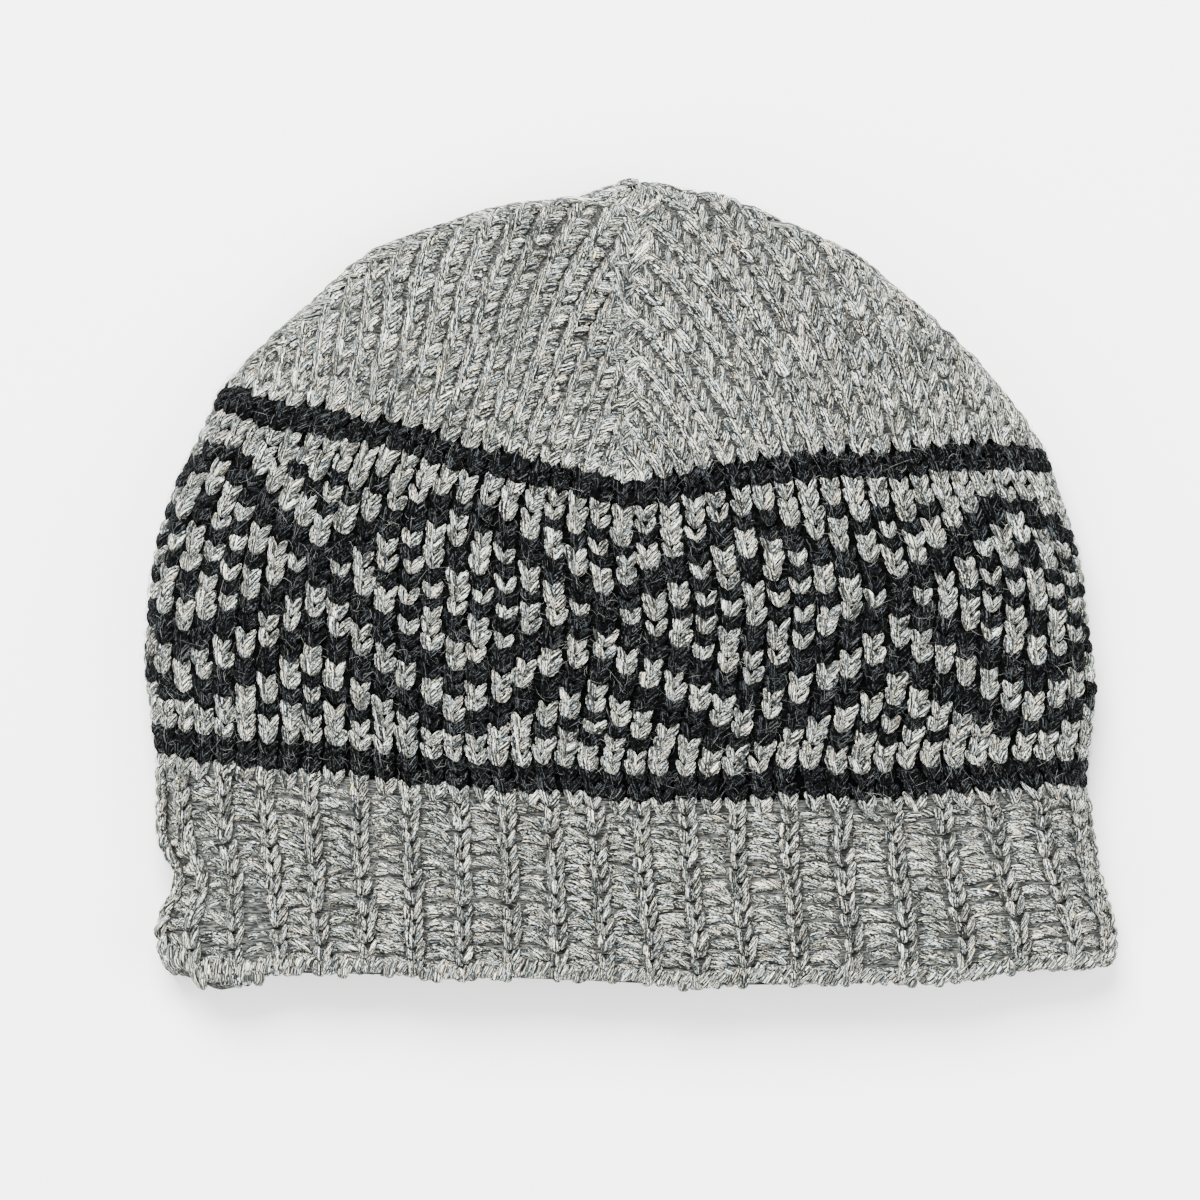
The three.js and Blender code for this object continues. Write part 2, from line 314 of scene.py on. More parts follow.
def wander_at(wale, course):
    """How far a stitch at this wale and course stands from even spacing, in wales."""
    turned = np.mod(wale - LEFT_FOLD, WALES) + LEFT_FOLD
    column = np.interp(turned, WANDER_WALES, np.arange(len(WANDER_WALES)))
    row = np.interp(course, WANDER_COURSES, np.arange(len(WANDER_COURSES)))
    c = np.minimum(column.astype(int), len(WANDER_WALES) - 2)
    r = np.minimum(row.astype(int), len(WANDER_COURSES) - 2)
    across = column - c
    along = row - r
    lower = WANDER[r, c] * (1 - across) + WANDER[r, c + 1] * across
    upper = WANDER[r + 1, c] * (1 - across) + WANDER[r + 1, c + 1] * across
    return lower * (1 - along) + upper * along


def on_fabric(course, wale, height):
    """Places in space for points at these courses, wales and heights over the outer skin."""
    point = read_net(OUTER, course, wale)
    hem = read_net(OUTER, np.full_like(course, NET_STEP), wale)
    below = np.minimum(course, 0)[..., None] / NET_STEP
    point = point + (hem - read_net(OUTER, np.zeros_like(course), wale)) * below
    return point + read_net(NORMALS, course, wale) * height[..., None]


# The crown's stitches are taken in along four lines, at the two folds and at the centre of
# the front and back. More of them run into the folds than into the centre lines. These are the
# shares taken in at the start of an even and of an odd quarter.
TAKEN_IN_AT_START = (0.70, 0.40)
LINE_SPREAD = 1.45
# How many courses a stitch climbs over its own width where its wale leans into a line, at the
# left and at the right of the hat, and how much plumper its lower leg then looks.
CROWN_LEAN = (-0.58, 1.0)
LEANING_PLUMP = 0.20


def left_in_quarter(course):
    """How many wales are left between two of the crown's lines, and how many were taken in."""
    quarter = WALES / 4
    gone = np.clip(course - UPPER_STRIPE_TOP - 0.5, 0, quarter - 1.1)
    return quarter - gone, gone


def place_in_quarter(line, course):
    """A crown wale's distance from the line at the left of its quarter, in wales."""
    quarter = WALES / 4
    share = np.where(np.mod(np.floor(line / quarter), 2) == 0, *TAKEN_IN_AT_START)
    return np.mod(line, quarter) - left_in_quarter(course)[1] * share


def crown_wale(line, offset, course):
    """Where a crown wale runs as the wales beside it are taken in."""
    quarter = WALES / 4
    left = left_in_quarter(course)[0]
    start = np.floor(line / quarter) * quarter
    on_line = np.mod(line, quarter) == 0
    steps = np.where(on_line, LINE_SPREAD * offset, place_in_quarter(line, course) + offset)
    return start + steps * quarter / left


def crown_lean(line, course):
    """How a crown stitch is turned: one way in each quarter, and not at all on the lines."""
    quarter = WALES / 4
    way = np.where(np.mod(np.floor(line / quarter), 2) == 0, *CROWN_LEAN)
    way = np.where(np.mod(line, quarter) == 0, 0.0, way)
    near_an_end = np.minimum((course - UPPER_STRIPE_TOP) / 3, (TIP - 2 - course) / 4)
    return way * np.clip(near_an_end, 0, 1)


# Yarn


def grain_template(segments, rings):
    """A plump closed grain of yarn one unit long with its ends on the Y axis."""
    bpy.ops.object.select_all(action="DESELECT")
    bpy.ops.mesh.primitive_uv_sphere_add(segments=segments, ring_count=rings, radius=0.5)
    grain = bpy.context.object
    bpy.ops.object.mode_set(mode="EDIT")
    bpy.ops.mesh.select_all(action="SELECT")
    bpy.ops.transform.rotate(value=math.pi / 2, orient_axis="X", center_override=(0, 0, 0))
    bpy.ops.object.mode_set(mode="OBJECT")
    mesh = grain.data
    points = np.array([tuple(vertex.co) for vertex in mesh.vertices])
    faces = [tuple(face.vertices) for face in mesh.polygons]
    bpy.data.objects.remove(grain)
    around = np.hypot(points[:, 0], points[:, 2]) * 2
    fuller = np.where(around > 1e-4, around ** 0.85 / np.maximum(around, 1e-4), 0)
    taper = 1 - 0.55 * np.clip(points[:, 1] - 0.05, 0, 0.5)
    points[:, 0] *= fuller * taper
    points[:, 2] *= fuller
    # The yarn's far end looks along the fabric, and its top side is up.
    return points, faces


def joined_mesh(name, points, faces, values):
    """One mesh of many copies: points is copies by corners by 3, faces those of one copy."""
    copies, corners = points.shape[:2]
    sizes = np.array([len(face) for face in faces])
    loops = np.concatenate([np.array(face) for face in faces])
    all_loops = (loops[None, :] + np.arange(copies)[:, None] * corners).ravel()
    all_sizes = np.tile(sizes, copies)
    starts = np.concatenate([[0], np.cumsum(all_sizes)[:-1]])
    mesh = bpy.data.meshes.new(name)
    mesh.vertices.add(copies * corners)
    mesh.vertices.foreach_set("co", (points * MM).astype(np.float32).ravel())
    mesh.loops.add(len(all_loops))
    mesh.loops.foreach_set("vertex_index", all_loops.astype(np.int32))
    mesh.polygons.add(len(all_sizes))
    mesh.polygons.foreach_set("loop_start", starts.astype(np.int32))
    mesh.update(calc_edges=True)
    mesh.validate()
    mesh.shade_smooth()
    for label, kind, data in values:
        attribute = mesh.attributes.new(label, kind, "POINT")
        field = "vector" if kind == "FLOAT_VECTOR" else "value"
        attribute.data.foreach_set(field, np.ascontiguousarray(data, dtype=np.float32).ravel())
    piece = bpy.data.objects.new(name, mesh)
    bpy.context.collection.objects.link(piece)
    return piece


GRAIN_POINTS, GRAIN_FACES = grain_template(6, 7)
TWIST_LENGTH = 15.0


def yarn_values(count, length, width, thickness):
    """The yarn's own coordinates in mm, turned with its twist, and one tone for each stitch."""
    side = GRAIN_POINTS[:, 0] * width
    along = (GRAIN_POINTS[:, 1] + 0.5) * length
    up = GRAIN_POINTS[:, 2] * thickness
    turn = -along * 2 * math.pi / TWIST_LENGTH
    local = np.stack([side * np.cos(turn) + up * np.sin(turn), along,
                      up * np.cos(turn) - side * np.sin(turn)], axis=-1)
    shift = random.uniform(0, 400, (count, 1, 3))
    tone = np.repeat(random.uniform(0, 1, (count, 1)), len(GRAIN_POINTS), axis=1)
    return local[None] + shift, tone


# Creases where the fabric sinks: the wale and course of each middle, its reach in wales and in
# courses, and its depth in millimetres.
CREASES = (
    (5.2, 3.0, 0.9, 3.6, 1.3),
    (0.7, 9.6, 0.8, 1.9, 1.6),
    (1.2, 1.0, 0.6, 2.0, 0.7),
)


def creased(wale, course):
    """How deep the fabric sinks in its creases."""
    turned = np.mod(wale - LEFT_FOLD, WALES) + LEFT_FOLD
    depth = 0 * turned
    for middle, level, across, along, deep in CREASES:
        reach = ((turned - middle) / across) ** 2 + ((course - level) / along) ** 2
        depth = depth + deep * np.exp(-reach)
    return depth


def bumpy(wale, course):
    """How a hand-knitted fabric wanders: small smooth shifts in wales and in courses."""
    turn = 2 * math.pi / WALES
    across = 0.10 * np.sin(5 * turn * wale + 0.21 * course) + 0.07 * np.sin(0.33 * course + 1.0)
    along = 0.16 * np.sin(9 * turn * wale + 1.7) + 0.10 * np.sin(17 * turn * wale + 0.19 * course)
    lift = 0.22 * np.sin(7 * turn * wale + 0.5 * course) + 0.18 * np.sin(23 * turn * wale)
    lift = lift - creased(wale, course)
    return across, along, lift


# How a knit stitch's two legs lie, as shares of a wale and of a course from its middle. The
# yarn's twist makes the right leg plumper and more slanted than the left one.
LEGS = (
    {"side": -1, "foot": 0.01, "head": 0.365, "bottom": -0.60, "top": 0.84, "curve": 1.0, "plump": 1.0},
    {"side": 1, "foot": 0.0, "head": 0.385, "bottom": -0.56, "top": 0.78, "curve": 0.95, "plump": 1.04},
)
LEG_CREST = 0.46
LEG_DIP = 0.95
LEG_THICKNESS = 2.4
CREST_HEIGHT = 0.35
# How single stitches stray from an even fabric: in wales, in courses and in millimetres of
# height, then how their legs' heads, tops and widths vary. None strays more than so many times
# these amounts, and bars of yarn stray less than whole stitches.
STRAY_ACROSS = 0.04
STRAY_ALONG = 0.09
STRAY_UP = 0.14
HEAD_VARIES = 0.045
TOP_VARIES = 0.09
WIDTH_VARIES = 0.13
STITCH_MOST = 2.2
BAR_MOST = 1.5


def unit(vectors):
    """These vectors at a length of one."""
    return vectors / np.maximum(np.linalg.norm(vectors, axis=-1, keepdims=True), 1e-9)


def lay_grains(path, width, thickness):
    """Grains of yarn laid on the fabric. path gives the course, wale and height along each grain."""
    t = (GRAIN_POINTS[:, 1] + 0.5)[None]
    reach = 0.05
    course, wale, height = path(t)
    centre = on_fabric(course, wale, height)
    onward = unit(on_fabric(*path(t + reach)) - on_fabric(*path(t - reach)))
    side = unit(np.cross(onward, read_net(NORMALS, course, wale)))
    up = np.cross(side, onward)
    x = (GRAIN_POINTS[:, 0][None] * width)[..., None]
    z = (GRAIN_POINTS[:, 2][None] * thickness)[..., None]
    points = centre + side * x + up * z
    points[..., 2] = np.maximum(points[..., 2], YARN_CLEARANCE)
    return points


def straight_wale(line, offset, course):
    """Where a wale runs below the crown."""
    return line + offset + wander_at(line + offset, course)


def chance(count, most):
    """Three random shifts for each stitch, none of them larger than the most."""
    return np.clip(random.normal(0, 1, (count, 3)), -most, most)


def knit_stitches(name, wales, courses, wale_line, width_share=1.0, height=0.0, spread=1.0, reach=1.0,
                  lean=0.0, parting=0.0):
    """A mesh of knit stitches, each a V of two plump legs.

    width_share and height are the yarn's, spread and reach make the V wider and longer, lean
    turns it, and parting opens its foot.
    """
    points = []
    coordinates = []
    tones = []
    count = len(wales)
    across, along, lift = (shift[:, None] for shift in bumpy(wales, courses))
    jog = jog_at(wales, courses)[:, None]
    lean = np.broadcast_to(lean, count)[:, None]
    place = chance(count, STITCH_MOST)
    across = across + STRAY_ACROSS * place[:, 0:1]
    along = along + STRAY_ALONG * place[:, 1:2]
    lift = lift + STRAY_UP * place[:, 2:3]
    for leg in LEGS:
        jitter = chance(count, STITCH_MOST)
        head = (leg["head"] + HEAD_VARIES * jitter[:, 0:1]) * spread
        top = leg["top"] * reach + TOP_VARIES * jitter[:, 1:2]
        bottom = leg["bottom"] * reach
        plump = leg["plump"] - LEANING_PLUMP * leg["side"] * lean
        width = YARN_WIDTH * width_share * plump * (1 + WIDTH_VARIES * jitter[:, 2:3])

        def path(t):
            t = np.broadcast_to(t, (count, t.shape[1]))
            t_in = np.clip(t, 0, 1)
            foot = leg["foot"] + parting
            out = leg["side"] * (foot + (head - foot) * t_in ** leg["curve"])
            u = out + across
            v = bottom + (top - bottom) * t + lean * out + along
            sink = np.where(t < LEG_CREST, (LEG_CREST - t) / LEG_CREST, (t - LEG_CREST) / (1 - LEG_CREST))
            rise = height + CREST_HEIGHT - LEG_THICKNESS / 2 - LEG_DIP * sink ** 2 + lift
            course = courses[:, None] + v + jog
            return course, wale_line(wales[:, None], u, course), rise

        points.append(lay_grains(path, width, LEG_THICKNESS))
        length = math.hypot((leg["top"] - leg["bottom"]) * COURSE_PITCH, leg["head"] * WALE_PITCH)
        local, tone = yarn_values(count, length, YARN_WIDTH * width_share, LEG_THICKNESS)
        coordinates.append(local)
        tones.append(tone)
    values = (("yarn", "FLOAT_VECTOR", np.concatenate(coordinates)),
              ("tone", "FLOAT", np.concatenate(tones)))
    return joined_mesh(name, np.concatenate(points), GRAIN_FACES, values)


def stitch_net(wales, courses):
    """Every pair of these wales and courses, as two flat lists."""
    wale, course = np.meshgrid(np.asarray(wales, float), np.asarray(courses, float))
    return wale.ravel(), course.ravel() + 0.5


def is_black(wale, course):
    """Whether the chart has a black stitch at this wale and course."""
    row = len(CHART) - 1 - (int(course) - LOWER_STRIPE_TOP)
    return CHART[row][int(wale - CHART_START) % len(CHART[0])] == "#"


def bars(name, wales, courses, half_span, width, thickness, height, arch, dip, tilt):
    """A mesh of short bars of yarn that lie across the fabric, such as purl stitches.

    A bar's half span is in wales, its arch and tilt in courses, and its width, thickness, height
    and the dip at its ends in millimetres.
    """
    count = len(wales)
    jitter = chance(count, BAR_MOST)
    across, along, lift = (shift[:, None] for shift in bumpy(wales, courses))
    jog = jog_at(wales, courses)[:, None]

    def path(t):
        s = np.broadcast_to(t, (count, t.shape[1])) * 2 - 1
        u = s * half_span * (1 + 0.12 * jitter[:, 2:3]) + 0.05 * jitter[:, 0:1] + across
        v = arch * (1 - s ** 2) + (tilt + 0.12 * jitter[:, 0:1]) * s + 0.13 * jitter[:, 1:2] + along
        rise = height - dip * s ** 2 + 0.16 * jitter[:, 2:3] + lift
        course = courses[:, None] + v + jog
        return course, straight_wale(wales[:, None], u, course), rise

    place = lay_grains(path, np.full((count, 1), width), thickness)
    local, tone = yarn_values(count, 2 * half_span * WALE_PITCH, width, thickness)
    values = (("yarn", "FLOAT_VECTOR", local), ("tone", "FLOAT", tone))
    return joined_mesh(name, place, GRAIN_FACES, values)


# Finishes


def linear(hex_colour):
    """A colour written as sRGB hex, turned to the linear values that a shader takes."""
    parts = [int(hex_colour[i:i + 2], 16) / 255 for i in (1, 3, 5)]
    return tuple(p / 12.92 if p <= 0.04045 else ((p + 0.055) / 1.055) ** 2.4 for p in parts) + (1.0,)


def add_node(material, kind, settings=(), inputs=(), links=()):
    """Adds one shader node, sets its properties and inputs, and links outputs to its inputs."""
    made = material.node_tree.nodes.new(kind)
    for name, value in dict(settings).items():
        setattr(made, name, value)
    for name, value in dict(inputs).items():
        made.inputs[name].default_value = value
    for name, output in dict(links).items():
        material.node_tree.links.new(output, made.inputs[name])
    return made


def colour_steps(ramp, steps):
    """Sets a colour ramp to these pairs of place and hex colour."""
    elements = ramp.color_ramp.elements
    while len(elements) > 1:
        elements.remove(elements[-1])
    for number, (place, colour) in enumerate(steps):
        element = elements[0] if number == 0 else elements.new(place)
        element.position = place
        element.color = linear(colour)


def empty_material(name):
    """A new material with no nodes yet."""
    material = bpy.data.materials.new(name)
    material.use_nodes = True
    material.node_tree.nodes.clear()
    return material


# The grain of each pattern in the yarn, across it and along it in millimetres. A real wool fibre
# is about 0.03 mm across, too fine to show, so fibres are drawn as locks 0.25 mm across.
FIBRE_ACROSS = 0.25
FIBRE_ALONG = 7.5
BLOTCH_ACROSS = 1.3
BLOTCH_ALONG = 3.5
HUE_ACROSS = 0.7
HUE_ALONG = 5.0
FIBRE_RELIEF = 0.32
INSIDE_RELIEF = 0.3
# How much each stitch's own tone counts in its shade.
TONE_SHARE = 0.22


def stretched_noise(material, coordinates, across, along, detail, distortion):
    """Noise drawn out along the yarn. across and along are its grain in millimetres."""
    place = add_node(
        material, "ShaderNodeMapping",
        inputs={"Scale": (1 / across, 1 / along, 1 / across)}, links={"Vector": coordinates})
    return add_node(
        material, "ShaderNodeTexNoise",
        inputs={"Scale": 1.0, "Detail": detail, "Roughness": 0.62, "Distortion": distortion},
        links={"Vector": place.outputs["Vector"]})


def tinted(material, first, second):
    """One colour multiplied by another."""
    return add_node(
        material, "ShaderNodeMix", {"data_type": "RGBA", "blend_type": "MULTIPLY"},
        {"Factor": 1.0}, {6: first, 7: second}).outputs[2]


def spun_wool(name, steps, shade_steps, hue_steps, sheen, gloss):
    """Loosely spun wool yarn: matt fibres that run along it with its twist, light and dark."""
    material = empty_material(name)
    yarn = add_node(material, "ShaderNodeAttribute", {"attribute_name": "yarn"}).outputs["Vector"]
    tone = add_node(material, "ShaderNodeAttribute", {"attribute_name": "tone"}).outputs["Fac"]
    fibres = stretched_noise(material, yarn, FIBRE_ACROSS, FIBRE_ALONG, 1.0, 0.1)
    colour = add_node(material, "ShaderNodeValToRGB", links={"Fac": fibres.outputs["Fac"]})
    colour_steps(colour, steps)
    blotches = stretched_noise(material, yarn, BLOTCH_ACROSS, BLOTCH_ALONG, 2.0, 0.0)
    shading = add_node(
        material, "ShaderNodeMath", {"operation": "MULTIPLY_ADD"}, {1: TONE_SHARE},
        {0: tone, 2: blotches.outputs["Fac"]})
    shade = add_node(material, "ShaderNodeValToRGB", links={"Fac": shading.outputs["Value"]})
    colour_steps(shade, shade_steps)
    dyed = stretched_noise(material, yarn, HUE_ACROSS, HUE_ALONG, 1.0, 0.0)
    hue = add_node(material, "ShaderNodeValToRGB", links={"Fac": dyed.outputs["Fac"]})
    colour_steps(hue, hue_steps)
    finished = tinted(material, colour.outputs["Color"], shade.outputs["Color"])
    finished = tinted(material, finished, hue.outputs["Color"])
    bump = add_node(
        material, "ShaderNodeBump", inputs={"Strength": 1.0, "Distance": FIBRE_RELIEF * MM},
        links={"Height": fibres.outputs["Fac"]})
    shader = add_node(
        material, "ShaderNodeBsdfPrincipled",
        inputs={"Roughness": 0.92, "Specular IOR Level": gloss, "Sheen Weight": sheen,
                "Sheen Roughness": 0.5},
        links={"Base Color": finished, "Normal": bump.outputs["Normal"]})
    add_node(material, "ShaderNodeOutputMaterial", links={"Surface": shader.outputs["BSDF"]})
    return material


# Heather yarn is spun from undyed light, mid and dark fleece, so each fibre has its own grey.
HEATHER = spun_wool(
    "heather_grey_wool_yarn",
    ((0.38, "#040505"), (0.45, "#222525"), (0.52, "#525654"), (0.58, "#8b8d88"), (0.64, "#fffef6")),
    ((0.35, "#8c8e8d"), (0.70, "#ffffff")),
    ((0.38, "#dbe5ea"), (0.50, "#f6f6f4"), (0.62, "#fff5e2")), 0.06, 0.12)
# Black dyed yarn: the grey streaks in its colour are painted highlights where fibres catch the light.
BLACK = spun_wool(
    "black_wool_yarn",
    ((0.42, "#000000"), (0.52, "#020203"), (0.59, "#131516"), (0.67, "#4a4f52")),
    ((0.35, "#909090"), (0.75, "#ffffff")),
    ((0.38, "#e6edf2"), (0.62, "#fff5ea")), 0.0, 0.04)


def knitted_inside(name, steps):
    """The close-set back of the knitting, in the shade between the stitches: its face there is darkened
    with painted shade.

    Its pattern is counted in wales and courses: locks of fibre about 2.8 mm by 0.4 mm.
    """
    material = empty_material(name)
    knit = add_node(material, "ShaderNodeAttribute", {"attribute_name": "knit"})
    place = add_node(
        material, "ShaderNodeMapping", inputs={"Scale": (2.2, 9.0, 1.0)},
        links={"Vector": knit.outputs["Vector"]})
    fibres = add_node(
        material, "ShaderNodeTexNoise",
        inputs={"Scale": 1.0, "Detail": 4.0, "Roughness": 0.65},
        links={"Vector": place.outputs["Vector"]})
    colour = add_node(material, "ShaderNodeValToRGB", links={"Fac": fibres.outputs["Fac"]})
    colour_steps(colour, steps)
    # Painted shade: the wall's face between the stitches is darkened, down to #747474 at the darkest,
    # while the hat's inner side keeps its full colour.
    unshaded_share = add_node(material, "ShaderNodeAttribute", {"attribute_name": "unshaded_share"})
    shade = add_node(material, "ShaderNodeValToRGB", links={"Fac": unshaded_share.outputs["Fac"]})
    colour_steps(shade, ((0.0, "#747474"), (1.0, "#ffffff")))
    finished = tinted(material, colour.outputs["Color"], shade.outputs["Color"])
    bump = add_node(
        material, "ShaderNodeBump", inputs={"Strength": 0.8, "Distance": INSIDE_RELIEF * MM},
        links={"Height": fibres.outputs["Fac"]})
    shader = add_node(
        material, "ShaderNodeBsdfPrincipled",
        inputs={"Roughness": 0.95, "Specular IOR Level": 0.03},
        links={"Base Color": finished, "Normal": bump.outputs["Normal"]})
    add_node(material, "ShaderNodeOutputMaterial", links={"Surface": shader.outputs["BSDF"]})
    return material


GREY_INSIDE = knitted_inside(
    "heather_wool_inside",
    ((0.32, "#1c1e1f"), (0.44, "#4a4d4c"), (0.54, "#868884"), (0.66, "#d9d9d2")))
BLACK_INSIDE = knitted_inside(
    "black_wool_inside", ((0.34, "#000000"), (0.56, "#030303"), (0.72, "#0d0e0f")))
FLOATS_INSIDE = knitted_inside(
    "two_colour_floats_inside",
    ((0.30, "#020202"), (0.50, "#050606"), (0.58, "#1a1c1c"), (0.74, "#3a3c3a")))


def fibre_finish(name, steps):
    """Loose fibres: fine, matt and a little lighter than the yarn that they stand out of."""
    material = empty_material(name)
    tone = add_node(material, "ShaderNodeAttribute", {"attribute_name": "tone"})
    colour = add_node(material, "ShaderNodeValToRGB", links={"Fac": tone.outputs["Fac"]})
    colour_steps(colour, steps)
    shader = add_node(
        material, "ShaderNodeBsdfPrincipled",
        inputs={"Roughness": 0.8, "Specular IOR Level": 0.2},
        links={"Base Color": colour.outputs["Color"]})
    add_node(material, "ShaderNodeOutputMaterial", links={"Surface": shader.outputs["BSDF"]})
    return material


GREY_FIBRE = fibre_finish(
    "loose_grey_wool_fibre", ((0.0, "#1c1f20"), (0.5, "#5c5f5d"), (1.0, "#a3a49e")))
BLACK_FIBRE = fibre_finish(
    "loose_black_wool_fibre", ((0.0, "#020202"), (0.55, "#0e0f10"), (1.0, "#6a6e70")))


# Dry straw: pale yellow and faintly glossy.
STRAW = fibre_finish("straw", ((0.0, "#c9b26a"), (0.6, "#e2cf8c"), (1.0, "#f0e4b4")))


# Pieces

# Black yarn is drawn a little wider than grey, because it fills out over its neighbours.
BLACK_WIDTH = 1.08
BLACK_SPREAD = 1.05


def finish_piece(piece, material, slot_name, *nodes):
    """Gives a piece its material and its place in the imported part."""
    piece.data.materials.append(material)
    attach(piece, "root")
    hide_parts(*nodes)


def knit_band():
    """The patterned band's stitches, one mesh for each yarn."""
    wales, courses = stitch_net(range(WALES), range(LOWER_STRIPE_TOP, BAND_TOP))
    black = np.array([is_black(w, c) for w, c in zip(wales, courses)])
    grey_piece = knit_stitches("band_grey_stitches", wales[~black], courses[~black], straight_wale)
    finish_piece(grey_piece, HEATHER, "two_colour_wool", "patterned_band")
    black_piece = knit_stitches("band_black_stitches", wales[black], courses[black], straight_wale,
                                width_share=BLACK_WIDTH, spread=BLACK_SPREAD)
    finish_piece(black_piece, BLACK, "two_colour_wool", "patterned_band")


def knit_stripe(name, bottom, top, node):
    """A plain black stripe from one course to another."""
    wales, courses = stitch_net(range(WALES), range(bottom, top))
    piece = knit_stitches(name, wales, courses, straight_wale, width_share=BLACK_WIDTH,
                          spread=BLACK_SPREAD)
    finish_piece(piece, BLACK, "black_wool", node)


# The cast-on edge curls up by this much beside the left fold, most at so many wales from it.
HEM_CURL = 0.7
CURL_FROM_FOLD = 2.8
CURL_SPAN = 1.8


def hem_curl(wales):
    """How far the cast-on edge curls up at the left lobe, in courses."""
    from_fold = np.abs(np.mod(wales - LEFT_FOLD + WALES / 2, WALES) - WALES / 2)
    return HEM_CURL * np.exp(-((from_fold - CURL_FROM_FOLD) / CURL_SPAN) ** 2)


# The bars of yarn in a purl stitch: its name, how far it lies beside and above the stitch's
# middle, its half span, width and height, and its arch, dip and tilt.
PURL_BARS = (
    ("rib_purl_left", -0.26, 0.05, 0.38, 2.65, -1.7, 0.12, 0.5, 0.17),
    ("rib_purl_right", 0.26, 0.13, 0.38, 2.65, -1.75, 0.12, 0.5, -0.17),
    ("rib_purl_strands", 0.0, -0.42, 0.60, 2.8, -1.8, -0.10, 0.4, 0.0),
)
# No purl bar lies lower than this course, where the cast-on edge is.
LOWEST_PURL = 0.3


def knit_brim():
    """Knit one, purl one rib, its plain top course and its cast-on edge."""
    wales, courses = stitch_net(range(0, WALES, 2), range(RIB_TOP))
    raised = knit_stitches("rib_knit_stitches", wales, courses, straight_wale, width_share=0.80,
                           height=0.90, spread=0.84, reach=0.82, lean=0.6, parting=0.07)
    finish_piece(raised, HEATHER, "heather_grey_wool", "ribbed_brim")
    # A purl stitch shows the two halves of its head, and under them the strand between stitches.
    wales, courses = stitch_net(range(1, WALES, 2), range(RIB_TOP))
    for name, sideways, up, half_span, width, height, arch, dip, tilt in PURL_BARS:
        kept = courses + up > LOWEST_PURL
        bumps = bars(name, wales[kept] + sideways, courses[kept] + up, half_span, width,
                     LEG_THICKNESS, height, arch, dip, tilt)
        finish_piece(bumps, HEATHER, "heather_grey_wool", "ribbed_brim")
    wales, courses = stitch_net(range(WALES), [RIB_TOP])
    plain = knit_stitches("plain_grey_course", wales, courses, straight_wale)
    finish_piece(plain, HEATHER, "heather_grey_wool", "ribbed_brim")
    wales, courses = stitch_net(np.arange(0, WALES, 0.5), [0.12])
    courses = courses + hem_curl(wales)
    edge = bars("cast_on_loops", wales, courses, half_span=0.12, width=3.2, thickness=2.8,
                height=-0.85, arch=0.0, dip=0.5, tilt=0.52)
    finish_piece(edge, HEATHER, "heather_grey_wool", "ribbed_brim")
    wales, courses = stitch_net(np.arange(0.25, WALES, 0.5), [-0.26])
    courses = courses + hem_curl(wales)
    beads = bars("cast_on_beads", wales, courses, half_span=0.05, width=3.6, thickness=3.0,
                 height=-1.1, arch=0.0, dip=0.3, tilt=0.36)
    finish_piece(beads, HEATHER, "heather_grey_wool", "ribbed_brim")


# A crown stitch ends where its middle is this near to the line that takes it in, in wales.
TAKEN_IN_AT = 0.12


def crown_stitch_list():
    """The wales and courses of the crown's stitches: each wale ends where it is taken in."""
    wales, courses = stitch_net(range(WALES), range(UPPER_STRIPE_TOP, TIP - 2))
    left = left_in_quarter(courses)[0]
    place = place_in_quarter(wales, courses)
    on_line = np.mod(wales, WALES / 4) == 0
    kept = on_line | ((place > TAKEN_IN_AT) & (place < left - TAKEN_IN_AT))
    return wales[kept], courses[kept]


def knit_crown():
    """The grey crown's stitches, turned on their wales and taken in along its lines."""
    wales, courses = crown_stitch_list()
    piece = knit_stitches("crown_stitches", wales, courses, crown_wale, width_share=1.08,
                          spread=1.06, reach=0.98, lean=crown_lean(wales, courses))
    finish_piece(piece, HEATHER, "heather_grey_wool", "crown")


# The yarn's end, drawn over the tip: where each piece of it starts beside the tip, in mm, which
# way it runs, in degrees, and how long it is.
TIP_YARN = (
    (-3.6, -5.0, 84.0, 5.2),
    (-4.0, -1.0, 12.0, 6.0),
    (1.0, -0.6, -32.0, 7.0),
)
TIP_YARN_WIDTH = 2.7
TIP_YARN_THICKNESS = 2.5
TIP_YARN_HEIGHT = 0.8
# The gathered stitches: how many, where they start and how far they climb, in courses, how many
# wales they turn by, and their width and thickness in millimetres.
GATHERED = 20
GATHER_START = 57.5
GATHER_CLIMB = 2.2
GATHER_TURN = 2.5
GATHER_WIDTH = 3.0
GATHER_THICKNESS = 2.6


